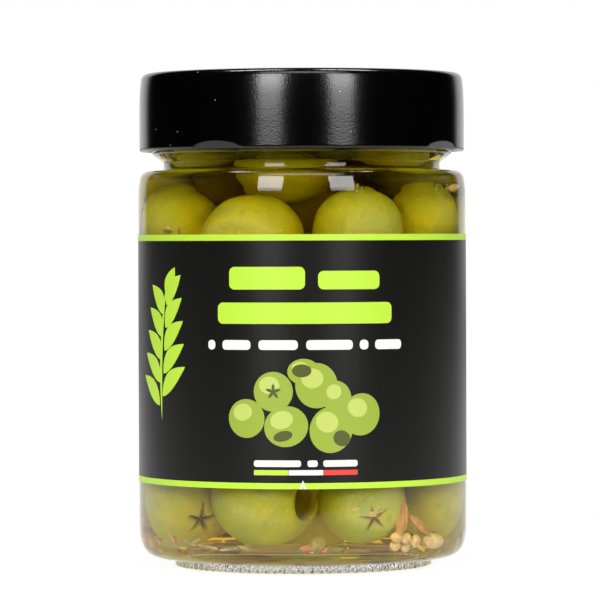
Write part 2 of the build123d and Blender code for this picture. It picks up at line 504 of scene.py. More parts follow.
def flat_shape(name, outline, thickness=0.06):
    """A flat closed shape from (across, up) points in millimetres, ready to be wrapped."""
    mesh = bpy.data.meshes.new(name)
    piece = bpy.data.objects.new(name, mesh)
    bpy.context.collection.objects.link(piece)
    points = [(x * MM, 0, z * MM) for x, z in outline]
    mesh.from_pydata(points, [], [list(range(len(points)))])
    edit(piece)
    left = min(x for x, _ in outline)
    right = max(x for x, _ in outline)
    cuts = max(1, int((right - left) / 1.0))
    for k in range(1, cuts):
        across = (left + (right - left) * k / cuts) * MM
        bpy.ops.mesh.select_all(action="SELECT")
        bpy.ops.mesh.bisect(plane_co=(across, 0, 0), plane_no=(1, 0, 0))
    bpy.ops.mesh.select_all(action="SELECT")
    bpy.ops.mesh.extrude_region_move(
        TRANSFORM_OT_translate={"value": (0, thickness * MM, 0)})
    bpy.ops.mesh.select_all(action="SELECT")
    bpy.ops.mesh.normals_make_consistent(inside=False)
    done()
    return piece


def wrapped(piece, lift=0.0):
    """Bends a flat shape round the label. Its face lies at the ink's own radius."""
    top = (INK_TOP + lift) * MM
    for vertex in piece.data.vertices:
        across, depth, up = vertex.co
        angle = across / (PAPER * MM)
        radius = top - depth
        vertex.co = (radius * math.sin(angle), -radius * math.cos(angle), up)
    piece.data.update()
    return piece


def bar(left, low, right, high, corner=0.4):
    """The outline of a bar with rounded corners."""
    corner = min(corner, (right - left) / 2.01, (high - low) / 2.01)
    corners = [(left, low), (right, low), (right, high), (left, high)]
    points = []
    for k, here in enumerate(corners):
        points += arc(corners[k - 1], here, corners[(k + 1) % 4], corner, 4)
    return [tuple(p) for p in points]


def leaf(foot, tip, width, lean=0.0, pieces=14):
    """The outline of a pointed leaf between two points. Lean bows its middle line."""
    foot, tip = Vector(foot), Vector(tip)
    along = tip - foot
    side = Vector((-along.y, along.x)).normalized()
    right, left = [], []
    for k in range(pieces + 1):
        t = k / pieces
        swell = math.sin(math.pi * t ** 0.85) ** 0.9 * width / 2 if 0 < k < pieces else 0
        middle = foot + along * t + side * lean * math.sin(math.pi * t)
        right.append(middle - side * swell)
        if 0 < k < pieces:
            left.append(middle + side * swell)
    return [tuple(p) for p in right + left[::-1]]


def oval(centre, length, width, turn=0.0, pieces=32):
    """The outline of an ellipse, turned by degrees."""
    spin = math.radians(turn)
    points = []
    for k in range(pieces):
        a = 2 * math.pi * k / pieces
        x, z = length / 2 * math.cos(a), width / 2 * math.sin(a)
        points.append((centre[0] + x * math.cos(spin) - z * math.sin(spin),
                       centre[1] + x * math.sin(spin) + z * math.cos(spin)))
    return points


def printed(name, outlines, lift=0.0):
    """One piece of print from several outlines in one ink."""
    shapes = [flat_shape(f"{name}_{k}", outline) for k, outline in enumerate(outlines)]
    return joined(name, [wrapped(shape, lift) for shape in shapes])


# %% Label: the lap at the back
BACK = math.pi * PAPER
LAP = 2.9


def over_lap(low, high):
    """The outline of the lap between two heights, at the back of the jar."""
    return [(BACK - LAP, low), (BACK + LAP, low), (BACK + LAP, high), (BACK - LAP, high)]


lap = wrapped(flat_shape("label_lap", over_lap(LABEL_LOW, LABEL_HIGH), 0.1), 0.075)
paper = joined("label_paper", [paper, lap])
print("label", len(paper.data.polygons), "faces")

# %% [markdown]
# Lime ink makes the two rings that edge the label, the two lines of the title and the sprig
# beside it. White ink makes a thin line of small bars under the title, and a shorter one
# over a band of lime, white and red at the foot.

# %% Print: the marks
ring_parts = []
for k, (low, high) in enumerate([(LABEL_LOW, 20.3), (72.55, LABEL_HIGH)]):
    ring_parts.append(wrapped(flat_shape(f"ring_lap_{k}", over_lap(low, high)), 0.095))
    ring_parts.append(hoop(f"ring_{k}", BODY + 0.02, INK_TOP, low, high))

title = [
    bar(-16.3, 62.0, 0.6, 66.9, 1.2),
    bar(3.4, 62.0, 17.3, 66.0, 1.2),
    bar(-19.1, 54.6, 20.3, 59.2, 1.2),
]
sprig = [
    leaf((-36.6, 33.4), (-34.4, 64.4), 0.9, 1.2),
    leaf((-34.2, 60.0), (-31.6, 66.8), 3.6, 0.5),
]
for k in range(5):
    foot_z = 36.5 + 5.0 * k
    reach = 8.6 - 0.75 * k
    stem = -36.9 + 0.42 * k
    sprig.append(leaf((stem - 0.6, foot_z), (stem - reach, foot_z + 6.4), 3.7, -0.8))
    sprig.append(leaf((stem + 0.6, foot_z + 2.0), (stem + reach, foot_z + 8.6), 3.7, 0.8))
flag = [bar(-10.7, 22.0, -3.2, 23.1, 0.1)]
lime = joined("print_lime", [printed("lime_marks", title + sprig + flag), *ring_parts])

words = [(-21.6, -19.8), (-18.0, -11.4), (-9.6, -1.0), (0.8, 11.0), (12.6, 14.6), (16.2, 22.8)]
small = [bar(a, 49.0, b, 51.1, 0.8) for a, b in words]
small += [bar(a, 23.8, b, 25.2, 0.5) for a, b in [(-10.7, -0.4), (1.0, 3.2), (4.4, 12.0)]]
small += [bar(-3.1, 22.0, 4.4, 23.1, 0.1)]
tick = [[(-0.75, 19.0), (0.75, 19.0), (0, 20.9)]]
white = joined("print_white", [printed("white_marks", small), printed("white_tick", tick, 0.004)])
red = printed("print_red", [bar(4.5, 22.0, 12.0, 23.1, 0.1)])
print("print", len(lime.data.polygons) + len(white.data.polygons), "faces")

# %% [markdown]
# Under the title the label shows a small heap of olives. It is drawn as overlapping ovals in
# three tones of green: a body, a lighter patch where light would fall, and a dark opening.

# %% Print: the heap of olives
heap = [
    # centre across, centre up, length, width, turn, opening: none, star, or a hole's place and size
    (0.2, 44.3, 7.0, 5.6, 0, (-0.4, 0.2, 4.2, 2.8)),
    (3.0, 41.3, 9.2, 9.8, 0, None),
    (7.4, 38.8, 6.4, 7.2, 20, None),
    (12.9, 35.0, 8.6, 9.2, -20, None),
    (-6.4, 40.0, 8.6, 8.6, 0, "star"),
    (-12.4, 34.2, 8.2, 8.4, 10, None),
    (6.2, 31.8, 9.4, 10.2, -20, (2.3, -1.9, 3.8, 3.4)),
    (-3.6, 32.5, 9.6, 8.8, 14, (-0.7, -2.1, 4.2, 2.2)),
]
bodies, lights, holes = [], [], []
for k, (x, z, length, width, turn, opening) in enumerate(heap):
    bodies.append(oval((x, z), length, width, turn))
    lights.append(oval((x - length * 0.1, z + width * 0.16), length * 0.52, width * 0.44, turn))
    if opening == "star":
        for arm in range(5):
            a = math.radians(90 + 72 * arm)
            tip = (x + 1.8 * math.cos(a), z + 1.8 * math.sin(a))
            holes.append(leaf((x, z), tip, 0.7))
    elif opening:
        right, up, long, high = opening
        holes.append(oval((x + right, z + up), long, high, turn))
heap_bodies = joined("print_olive", [
    wrapped(flat_shape(f"body_{k}", o), -0.03 + 0.002 * k) for k, o in enumerate(bodies)])
heap_lights = printed("print_olive_light", lights, -0.009)
heap_holes = printed("print_olive_dark", holes)
print("heap", len(bodies), "olives")

# %% [markdown]
# ## The oil
# The oil fills the jar from wall to wall. Its skin is sunk 0.15 mm into the glass, so that no
# film of air is left between them, and its top is a level face inside the neck.

# %% Oil
OIL_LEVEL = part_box("oil_and_olives")[1][2] / MM
OVERLAP = 0.15


def moved_out(points, distance):
    """A line moved sideways, away from the axis side, by a distance."""
    moved = []
    for k, point in enumerate(points):
        before = points[max(k - 1, 0)]
        after = points[min(k + 1, len(points) - 1)]
        along = (after - before).normalized()
        moved.append(point + Vector((along.y, -along.x)) * distance)
    moved[0].x = 0
    return moved


oil_side = [p for p in inside_line if p.y < OIL_LEVEL - 1]
oil_line = moved_out(oil_side + [Vector((30.0, OIL_LEVEL))], OVERLAP)
oil_line += [Vector((28.5, OIL_LEVEL - 0.25)), Vector((20, OIL_LEVEL - 0.3)),
             Vector((0, OIL_LEVEL - 0.3))]
oil = turned("oil_fill", oil_line, steps=STEPS)
swim(oil)
print("oil", len(oil.data.polygons), "faces")

# %% [markdown]
# ## One olive
# A pitted green olive is an egg of firm flesh with two scars of the pitting machine: a round
# hole where the stone was pushed out, and a five-armed cut at the other end where the blade
# went in. Both are modelled: the cap of a ball is inset and pushed in for the hole, and the
# points along five lines are pressed in for the star. Each copy then gets its own size, its
# own lumps and its own tone, written to the mesh as attributes.

# %% Olive: the model


def olive_model():
    """One olive along Z with its hole at the top; the star is pressed into the bottom of each copy
    later. Unit radius.
    """
    bpy.ops.mesh.primitive_uv_sphere_add(segments=48, ring_count=34, radius=1)
    piece = added("olive_model")
    for vertex in piece.data.vertices:
        vertex.select = False
    edit(piece, "DESELECT")
    mesh = bmesh.from_edit_mesh(piece.data)
    for face in mesh.faces:
        face.select = face.calc_center_median().z > 0.89
    bmesh.update_edit_mesh(piece.data)
    for width, depth in [(0.02, 0.02), (0.02, 0.05), (0.02, 0.15), (0.02, 0.22)]:
        bpy.ops.mesh.inset(thickness=width, depth=0)
        bpy.ops.transform.translate(value=(0, 0, -depth))
    done()
    return piece


model = olive_model()
print("olive", len(model.data.polygons), "faces")

# %% Olive: shaping a copy


def pressed_star(direction, size):
    """How deep the star's cut is at a direction from the olive's middle, from 0 to 1."""
    if direction.z > -0.7:
        return 0.0
    away = math.hypot(direction.x, direction.y)
    if away > size:
        return 0.0
    angle = math.atan2(direction.y, direction.x)
    arm = abs(((angle / (2 * math.pi) * 5) + 0.5) % 1 - 0.5) * 2 * math.pi / 5 * away
    width = 0.095 * (1 - away / size) ** 0.7
    return max(0.0, 1 - (arm / max(width, 1e-4)) ** 2) * (1 - 0.35 * away / size)


FLOOR_IN = 5.9
SHOULDER = 83
SHOULDER_RISE = 5.6


def room(z):
    """The inside radius of the jar at a height."""
    if z < SHOULDER:
        return INNER
    if z > SHOULDER + SHOULDER_RISE:
        return NECK_IN
    return INNER + (NECK_IN - INNER) * (z - SHOULDER) / SHOULDER_RISE


def pressed_flat(place):
    """A point of an olive's skin, kept off the glass, against which it lies flat."""
    rho = math.hypot(place.x, place.y) / MM
    soft = 0.6
    start = room(place.z / MM) - 0.45 - soft
    if rho > start:
        kept = start + soft * (1 - math.exp((start - rho) / soft))
        place = Vector((place.x * kept / rho, place.y * kept / rho, place.z))
    return Vector((place.x, place.y, min(max(place.z, FLOOR_IN * MM), (OIL_LEVEL - 0.8) * MM)))


def grow_olive(draw, centre, radius, length, axis, tone, folds=0.0, star=0.38):
    """A copy of the model at its place. axis is the direction of its hole."""
    twin = copied(model)
    mesh = twin.data
    turn = axis.to_track_quat("Z", "Y").to_matrix().to_4x4()
    own_spin = Matrix.Rotation(draw.uniform(0, 6.28), 4, "Z")
    seed = Vector([draw.uniform(-9, 9) for _ in range(3)])
    cut = mesh.attributes.new("cut", "FLOAT", "POINT")
    hue = mesh.attributes.new("tone", "FLOAT", "POINT")
    for k, vertex in enumerate(mesh.vertices):
        direction = vertex.co.normalized()
        depth = pressed_star(direction, star)
        inner = max(0.0, min(0.45, (0.96 - vertex.co.length) * 6)) if direction.z > 0 else 0
        lumps = 1 + 0.045 * noise.noise(direction * 1.6 + seed) + 0.008 * noise.noise(
            direction * 6 + seed) - folds * abs(noise.noise(direction * 2.2 + seed))
        place = vertex.co * (1 - 0.14 * depth) * lumps
        place.x *= 1 - 0.05 * direction.z
        place.y *= 1 - 0.05 * direction.z
        vertex.co = Vector((place.x * radius, place.y * radius, place.z * length / 2))
        cut.data[k].value = max(depth, inner)
        hue.data[k].value = tone
    mesh.transform(Matrix.Translation(centre) @ turn @ own_spin)
    for vertex in mesh.vertices:
        vertex.co = pressed_flat(vertex.co)
    mesh.update()
    return twin


# %% [markdown]
# ## Filling the jar
# Olives poured into a jar settle into rings that lean on the wall. The ones that show through
# the glass at the front are listed one by one. All the others start at random and are pushed
# apart, and off the walls, a little at a time until none of them overlaps much.

# %% The olives seen from the front
R_OLIVE = 10.2
placed = [
    # place x, y, z; radius; length; direction of the hole; tone; folds
    ((-22.6, -7.5, 74.3), 9.7, 21.0, (0.2, -0.3, -0.93), 0.45, 0.04),
    ((-9.9, -22.2, 71.8), 10.7, 23.0, (0.3, 0.6, 0.7), 0.45, 0.0),
    ((11.1, -22.4, 74.0), 9.2, 20.0, (0.1, -0.35, -0.93), 0.3, 0.0),
    ((22.3, -8.9, 75.6), 8.6, 19.0, (-0.3, -0.3, -0.9), 0.4, 0.05),
    ((25.4, 7.8, 73.6), 9.0, 20.0, (0.1, 0.9, 0.3), 0.0, 0.0),
    ((-2.8, -12.2, 90.0), 9.2, 20.0, (0.1, -0.25, 0.96), 0.5, 0.0),
    ((17.0, -7.6, 95.4), 8.3, 17.5, (0.9, 0.2, 0.2), 0.6, 0.0),
    ((-18.0, -5.4, 95.4), 8.3, 17.5, (0.9, 0.3, 0.2), 0.3, 0.0),
    ((-24.5, 8.6, 83.0), 9.5, 20.0, (0.2, 0.9, 0.3), 0.3, 0.0),
    ((17.5, 8.0, 91.0), 9.8, 20.5, (-0.4, 0.2, 0.9), 0.3, 0.0),
    ((2.6, 19.5, 81.0), 10.2, 21.5, (0.9, 0.2, 0.3), 0.5, 0.0),
    ((-22.3, -8.6, 15.8), 10.0, 22.0, (-0.27, 0.86, 0.43), 0.6, 0.02),
    ((-7.3, -22.3, 16.4), 10.4, 21.6, (0.83, -0.56, -0.05), 0.3, 0.0),
    ((11.6, -22.4, 16.2), 9.0, 20.5, (-0.36, 0.83, 0.41), 0.15, 0.0),
    ((23.4, -7.0, 16.8), 9.3, 20.5, (0.1, 0.3, 0.95), 0.45, 0.0),
    ((2.4, -4.6, 15.4), 9.9, 20.5, (0.4, 0.7, 0.3), 0.4, 0.0),
    ((-16.4, 7.6, 15.6), 9.9, 20.5, (0.7, 0.7, 0.1), 0.7, 0.0),
    ((16.2, 12.0, 15.6), 9.9, 20.5, (-0.4, 0.9, 0.2), 0.6, 0.0),
]
TOP_IN = 101.5


def settle(draw, count, fixed, rounds=260):
    """Places for count more olives among the fixed ones. Each is a list x, y, z."""
    balls = [[*place] for place, *_ in fixed]
    while len(balls) < len(fixed) + count:
        z = draw.uniform(FLOOR_IN + 9, TOP_IN - 9)
        rho = draw.uniform(0, room(z) - R_OLIVE)
        a = draw.uniform(0, 2 * math.pi)
        balls.append([rho * math.cos(a), rho * math.sin(a), z])
    keep = len(fixed)
    for _ in range(rounds):
        for i in range(keep, len(balls)):
            ball = balls[i]
            for j, other in enumerate(balls):
                if i == j:
                    continue
                apart = [ball[n] - other[n] for n in range(3)]
                gap = math.sqrt(sum(v * v for v in apart)) or 0.01
                short = 2 * R_OLIVE - gap
                if short > 0:
                    share = 0.9 if j < keep else 0.5
                    for n in range(3):
                        ball[n] += apart[n] / gap * short * share
            rho = math.hypot(ball[0], ball[1])
            widest = room(ball[2] + 0.5 * R_OLIVE) - R_OLIVE
            if rho > widest:
                ball[0] *= widest / rho
                ball[1] *= widest / rho
            ball[2] = min(max(ball[2], FLOOR_IN + R_OLIVE), TOP_IN - R_OLIVE)
    return balls[keep:]


# %% All the olives
draw = random.Random(7)
olives = []
for place, radius, length, axis, tone, folds in placed:
    olives.append(grow_olive(draw, Vector(place) * MM, radius * MM, length * MM,
                             Vector(axis).normalized(), tone, folds))
# Pockets of clear oil stay open behind the gap in the upper row and right of the top olive.
POCKETS = [((1.0, -9.0, 77.0),), ((9.0, -14.5, 90.0),), ((2.0, 5.0, 79.0),)]
others = settle(draw, 29, placed + POCKETS)
for place in others:
    axis = Vector([draw.uniform(-1, 1) for _ in range(3)]).normalized()
    axis = Vector((axis.x, 0.3 * axis.y, axis.z)).normalized()
    radius = draw.uniform(9.5, 10.4)
    length = 2 * radius * draw.uniform(1.04, 1.14)
    olives.append(grow_olive(draw, Vector(place) * MM, radius * MM, length * MM, axis,
                             draw.uniform(0.1, 0.9)))
thrown_away(model)
olive_heap = smooth(joined("olives", olives))
print("olives", len(olives), "faces", len(olive_heap.data.polygons))

# %% [markdown]
# ## Seeds, flakes and bubbles
# The olives were packed with spices, and these have sunk to the heel of the jar: ribbed
# fennel seeds, round pale seeds, flat chilli seeds, slivers of herb, a few red flakes and
# a peppercorn. Each kind starts as a ball that is pressed, ribbed or bent into one model,
# and its copies are laid along the glass, or further in, under the olives. A few bubbles of
# air cling under the shoulder.

# %% Spice: models


def seed_model(name, segments=20, rings=14, ribs=0, rib_depth=0.0, bend=0.0, rough=0.0, nib=0.0):
    """A seed of unit radius along Z, with ribs, a bend, a rough skin and a pointed end."""
    bpy.ops.mesh.primitive_uv_sphere_add(segments=segments, ring_count=rings, radius=1)
    piece = added(name)
    for vertex in piece.data.vertices:
        place = vertex.co
        angle = math.atan2(place.y, place.x)
        swell = 1 + rib_depth * math.cos(ribs * angle) + rough * noise.noise(place * 2.3)
        slim = 1 - 0.25 * abs(place.z) ** 3
        tip = nib * max(0, place.z - 0.93) / 0.07
        vertex.co = Vector((place.x * swell * slim + bend * place.z ** 2,
                            place.y * swell * slim, place.z * (1 + rough * 0.3) + tip))
    piece.data.update()
    return piece


def wall_radius(z):
    """The inside radius of the jar at a height, with the rounding at its floor."""
    rounding, corner = 4.2, 9.2
    if z < corner:
        return INNER - rounding + math.sqrt(rounding ** 2 - min(corner - z, 4.1) ** 2)
    return room(z)


def at_wall(angle, z, inset):
    """A place beside the glass. Angle 0 is the front, positive to the right, in degrees."""
    rho = wall_radius(z) - 0.45 - inset
    a = math.radians(angle)
    return Vector((rho * math.sin(a), -rho * math.cos(a), z)) * MM


def laid(model, angle, z, size, slope, inset=None):
    """A copy beside the glass. size is thickness, width and length in mm; slope in degrees."""
    place = at_wall(angle, z, size[0] / 2 if inset is None else inset)
    a, b = math.radians(angle), math.radians(slope)
    outward = Vector((math.sin(a), -math.cos(a), 0))
    side = Vector((math.cos(a), math.sin(a), 0))
    along = side * math.cos(b) + Vector((0, 0, math.sin(b)))
    axes = Matrix((outward, along.cross(outward), along)).transposed().to_4x4()
    twin = copied(model)
    half_size = Matrix.Diagonal((*[v * MM / 2 for v in size], 1))
    twin.data.transform(Matrix.Translation(place) @ axes @ half_size)
    return twin


def sown(name, model, rows):
    """One piece from copies of one model, which is then thrown away."""
    piece = smooth(joined(name, [laid(model, *row) for row in rows]))
    thrown_away(model)
    return piece


# %% Spice: where each kind lies
scatter = random.Random(11)


def strewn(count, size, slopes, low=6.6, high=8.6):
    """Rows for more of a kind, round the sides and back of the jar."""
    rows = []
    for _ in range(count):
        grown = scatter.uniform(0.8, 1.1)
        rows.append((scatter.uniform(88, 272), scatter.uniform(low, high),
                     tuple(v * grown for v in size), scatter.uniform(*slopes)))
    return rows


def scattered(count, size, low=6.1, high=7.2):
    """Rows for more of a kind, over the floor of the jar, under the olives."""
    rows = []
    for _ in range(count):
        grown = scatter.uniform(0.8, 1.1)
        rows.append((scatter.uniform(60, 300), scatter.uniform(low, high),
                     tuple(v * grown for v in size), scatter.uniform(-20, 20),
                     30 * (1 - scatter.uniform(0.1, 0.9) ** 0.5)))
    return rows


fennel = sown("fennel_seeds", seed_model("fennel_model", 30, 18, 6, 0.2, 0.12, nib=0.28), [
    (38.6, 12.1, (2.3, 3.5, 8.6), 86),
    (47.2, 10.4, (1.5, 1.8, 7.4), -36),
    *strewn(10, (1.8, 2.2, 6.2), (-40, 40), 7.5, 9.5),
    *scattered(6, (1.8, 2.2, 6.2), 6.8, 7.2),
])
pale = sown("pale_seeds", seed_model("pale_seed_model", 14, 10, 5, 0.05, 0, 0.22, 0.1), [
    (36.8, 8.0, (2.2, 2.3, 3.0), 0),
    (41.2, 7.7, (2.0, 2.3, 2.6), 20),
    (46.2, 7.1, (2.2, 2.4, 3.0), 10),
    (36.8, 6.5, (1.9, 1.9, 2.6), 0),
    (42.0, 6.2, (1.9, 1.9, 2.4), 10),
    (3.2, 6.1, (1.0, 1.4, 1.6), 0),
    *strewn(50, (2.2, 2.4, 2.6), (0, 90), 6.4, 9.2),
    *scattered(14, (2.2, 2.4, 2.6), 6.9, 7.3),
])
flat = sown("chilli_seeds", seed_model("chilli_seed_model", 20, 12, 3, 0.04, 0.1, 0.1), [
    (56.5, 6.9, (1.4, 2.7, 7.4), -6),
    (73.0, 83.9, (1.0, 1.3, 6.4), 4),
    *strewn(18, (1.1, 2.8, 3.8), (-30, 30), 6.6, 9.0),
])
slivers = sown("herb_slivers", seed_model("sliver_model", 10, 12, 2, 0.2, 0.5, 0.2), [
    (26.3, 13.4, (0.6, 1.2, 4.4), 10),
    (24.6, 13.0, (0.5, 1.0, 3.4), -4),
    (28.6, 14.2, (0.5, 0.8, 2.6), 14),
    (19.2, 14.4, (0.4, 1.2, 1.8), 10),
    (-56.0, 7.4, (0.5, 1.1, 4.6), -48),
    (-47.0, 6.9, (0.4, 0.8, 4.8), -12),
    (-38.0, 6.3, (0.4, 0.8, 5.4), -6),
    (-29.0, 6.0, (0.4, 0.7, 4.4), 6),
    (-42.0, 7.4, (0.4, 0.6, 2.8), 24),
    (-22.0, 6.2, (0.4, 0.7, 3.2), -14),
    (-57.0, 75.0, (0.5, 1.6, 3.6), -8),
    (-50.0, 75.0, (0.5, 0.9, 2.8), 70),
    *strewn(50, (0.5, 1.1, 5.6), (-30, 30), 6.1, 8.6),
    *scattered(22, (0.5, 1.1, 5.6)),
])
chilli = sown("chilli_flakes", seed_model("flake_model", 12, 8, 3, 0.2, 0.2, 0.5), [
    (1.6, 6.3, (0.5, 1.3, 2.8), 0),
    (-54.0, 7.2, (0.4, 1.3, 2.2), 20),
    (7.6, 5.9, (0.4, 0.9, 1.6), 20),
    *strewn(12, (0.5, 1.7, 2.4), (0, 90), 6.4, 8.4),
])
pepper = sown("peppercorns", seed_model("pepper_model", 24, 18, 7, 0.03, 0, 0.22), [
    (5.2, 7.1, (3.0, 3.2, 3.8), 20),
    *strewn(3, (4.0, 4.1, 4.2), (0, 90), 8.2, 8.8),
])
bubbles = sown("bubbles", seed_model("bubble_model", 16, 10), [
    (59.0, 83.9, (1.4, 1.7, 1.6), 0),
    (67.0, 84.0, (1.3, 1.6, 1.5), 0),
    (21.0, 84.4, (0.6, 0.9, 0.8), 0),
    (22.6, 83.6, (0.6, 0.8, 0.8), 0),
    (20.2, 83.2, (0.5, 0.6, 0.6), 0),
    *[(scatter.uniform(90, 270), scatter.uniform(82.5, 85.4), (0.5, 0.7, 0.7), 0)
      for _ in range(8)],
])
print("spices", sum(len(piece.data.polygons) for piece in (fennel, pale, flat, slivers)), "faces")

# %% [markdown]
# ## Glass and oil to look through
# Soda-lime glass bends light with an index of 1.52 and olive oil with 1.47. In a jar the two
# touch, so hardly anything is reflected between them. Both let the lamps' shadow rays and
# the light scattered by the olives straight through, which keeps the picture clean, while
# everything that the eye looks at through them is bent as it should be.

# %% Clear materials


def clear_material(name, ior, tint, specular=(1, 1, 1, 1), absorb=None):
    """A clear, glossy material that lets scattered light straight through."""
    material, tree, output = new_material(name)
    body = node(tree, "ShaderNodeBsdfPrincipled", {
        "Base Color": ink(tint), "Roughness": 0.0, "IOR": ior,
        "Transmission Weight": 1.0, "Specular Tint": specular})
    path = node(tree, "ShaderNodeLightPath")
    straight = node(tree, "ShaderNodeMath", {
        0: path.outputs["Is Shadow Ray"], 1: path.outputs["Is Diffuse Ray"]},
        operation="MAXIMUM")
    open_way = node(tree, "ShaderNodeBsdfTransparent", {"Color": ink(tint)})
    mixed = node(tree, "ShaderNodeMixShader", {
        0: straight.outputs[0], 1: body.outputs[0], 2: open_way.outputs[0]})
    tree.links.new(mixed.outputs[0], output.inputs["Surface"])
    if absorb:
        colour, density = absorb
        deep = node(tree, "ShaderNodeVolumeAbsorption", {"Color": ink(colour), "Density": density})
        tree.links.new(deep.outputs[0], output.inputs["Volume"])
    return material


NO_SHINE = (0, 0, 0, 1)
glass = clear_material("soda_lime_glass", 1.52, "#FFFFFF")
wet_glass = clear_material("soda_lime_glass_wetted_by_oil", 1.52, "#FFFFFF", specular=NO_SHINE)
oil_look = clear_material("olive_oil", 1.47, "#FFFFFF", specular=NO_SHINE,
                          absorb=("#FCF700", 160.0))
dressed(jar, glass, wet_glass)
dressed(oil, oil_look)


def inward(face, share):
    """True where a face looks towards the axis by more than that share of its normal."""
    radius = math.hypot(face.center.x, face.center.y)
    return face.normal.x * face.center.x + face.normal.y * face.center.y < -share * radius


wetted = 0
for face in jar.data.polygons:
    middle = face.center / MM
    radius = math.hypot(middle.x, middle.y)
    on_floor = face.normal.z > 0.5 and middle.z < 9
    touched = inward(face, 0.05) or on_floor
    if touched and 3.5 < middle.z < OIL_LEVEL and radius < INNER + 0.5:
        face.material_index = 1
        wetted += 1
print("wetted faces", wetted)

# %% [markdown]
# ## Olive flesh
# A brined olive is waxy and matt inside its oil, because the oil takes its gloss away. Its
# tone drifts from yellow to grey-green over a few millimetres, fine pale specks sit in the
# skin, and the cuts are brown where air has reached the flesh.

# %% Olive material
material, tree, output = new_material("brined_olive_flesh")
place = node(tree, "ShaderNodeTexCoord").outputs["Object"]
tone = node(tree, "ShaderNodeAttribute", attribute_name="tone")
cut = node(tree, "ShaderNodeAttribute", attribute_name="cut")
drift = node(tree, "ShaderNodeTexNoise", {
    "Vector": place, "Scale": 110.0, "Detail": 4.0, "Roughness": 0.6, "Distortion": 0.6})
spread = node(tree, "ShaderNodeMapRange", {
    "Value": drift.outputs["Fac"], "From Min": 0.25, "From Max": 0.75})
blend = node(tree, "ShaderNodeMix", {
    "Factor": 0.55, "A": tone.outputs["Fac"], "B": spread.outputs[0]}, data_type="FLOAT")
skin = ramp(tree, blend.outputs["Result"], [
    (0.1, "#929A4E"), (0.35, "#A09F42"), (0.6, "#B2A62C"), (0.9, "#BCAA1E")])
specks = node(tree, "ShaderNodeTexNoise", {"Vector": place, "Scale": 1100.0, "Detail": 2.0})
speck_mask = node(tree, "ShaderNodeMapRange", {
    "Value": specks.outputs["Fac"], "From Min": 0.58, "From Max": 0.78, "To Max": 0.4})
speckled = node(tree, "ShaderNodeMix", {
    "Factor": speck_mask.outputs[0], "A": skin, "B": ink("#C8C470")}, data_type="RGBA")
bruise = node(tree, "ShaderNodeTexNoise", {"Vector": place, "Scale": 420.0, "Detail": 3.0})
bruise_mask = node(tree, "ShaderNodeMapRange", {
    "Value": bruise.outputs["Fac"], "From Min": 0.56, "From Max": 0.74, "To Max": 0.45})
bruised = node(tree, "ShaderNodeMix", {
    "Factor": bruise_mask.outputs[0], "A": speckled.outputs["Result"], "B": ink("#8E842C")},
    data_type="RGBA")
cut_colour = ramp(tree, cut.outputs["Fac"], [
    (0.0, "#A0923A"), (0.4, "#988836"), (0.75, "#64581F"), (0.9, "#74451F"), (1.0, "#9C4630")])
cut_mask = node(tree, "ShaderNodeMapRange", {
    "Value": cut.outputs["Fac"], "From Min": 0.05, "From Max": 0.4})
flesh_colour = node(tree, "ShaderNodeMix", {
    "Factor": cut_mask.outputs[0], "A": bruised.outputs["Result"], "B": cut_colour},
    data_type="RGBA")
pores = node(tree, "ShaderNodeBump", {
    "Height": specks.outputs["Fac"], "Strength": 0.25, "Distance": 0.2 * MM})
dimples = node(tree, "ShaderNodeBump", {
    "Height": drift.outputs["Fac"], "Strength": 0.5, "Distance": 1.2 * MM,
    "Normal": pores.outputs[0]})
flesh = node(tree, "ShaderNodeBsdfPrincipled", {
    "Base Color": flesh_colour.outputs["Result"], "Roughness": 0.45, "Specular IOR Level": 0.15,
    "Normal": dimples.outputs[0]})
tree.links.new(flesh.outputs[0], output.inputs["Surface"])
dressed(olive_heap, material)
print("olive skin", len(tree.nodes), "nodes")

# %% [markdown]
# ## Spices
# Dried seeds soaked in oil are matt and a little translucent. Their colour runs in streaks
# along the ribs, so a stretched noise mixes a dark and a light tone of each.

# %% Spice materials


def soaked(name, dark, light, grain, stretch=(1, 1, 1)):
    """A matt, streaky skin: grain is in cycles a metre."""
    material, tree, output = new_material(name)
    place = node(tree, "ShaderNodeTexCoord").outputs["Object"]
    pulled = node(tree, "ShaderNodeMapping", {"Vector": place, "Scale": stretch})
    streaks = node(tree, "ShaderNodeTexNoise", {
        "Vector": pulled.outputs[0], "Scale": grain, "Detail": 3.0})
    colour = ramp(tree, streaks.outputs["Fac"], [(0.3, dark), (0.7, light)])
    bump = node(tree, "ShaderNodeBump", {
        "Height": streaks.outputs["Fac"], "Strength": 0.6, "Distance": 0.15 * MM})
    body = node(tree, "ShaderNodeBsdfPrincipled", {
        "Base Color": colour, "Roughness": 0.5, "Specular IOR Level": 0.2,
        "Normal": bump.outputs[0]})
    tree.links.new(body.outputs[0], output.inputs["Surface"])
    return material


spices = {
    fennel: ("fennel_husk", "#96682E", "#C69450", 900.0, (1, 1, 0.25)),
    pale: ("coriander_husk", "#B48C4C", "#DDBE84", 800.0),
    flat: ("chilli_seed_skin", "#BC9454", "#DDBE88", 600.0),
    slivers: ("dried_herb", "#76662C", "#C6AE6C", 300.0),
    chilli: ("dried_chilli", "#8E4C24", "#BC7C4A", 600.0),
    pepper: ("green_peppercorn", "#7A6A24", "#A08C3A", 700.0),
}
for piece, look in spices.items():
    dressed(piece, soaked(*look))
print("spice materials", len(spices))

# %% Air
air, tree, output = new_material("air_bubble_in_oil")
open_air = node(tree, "ShaderNodeBsdfGlass", {"Roughness": 0.0, "IOR": 1 / 1.47})
tree.links.new(open_air.outputs[0], output.inputs["Surface"])
dressed(bubbles, air)
print("air", len(tree.nodes), "nodes")

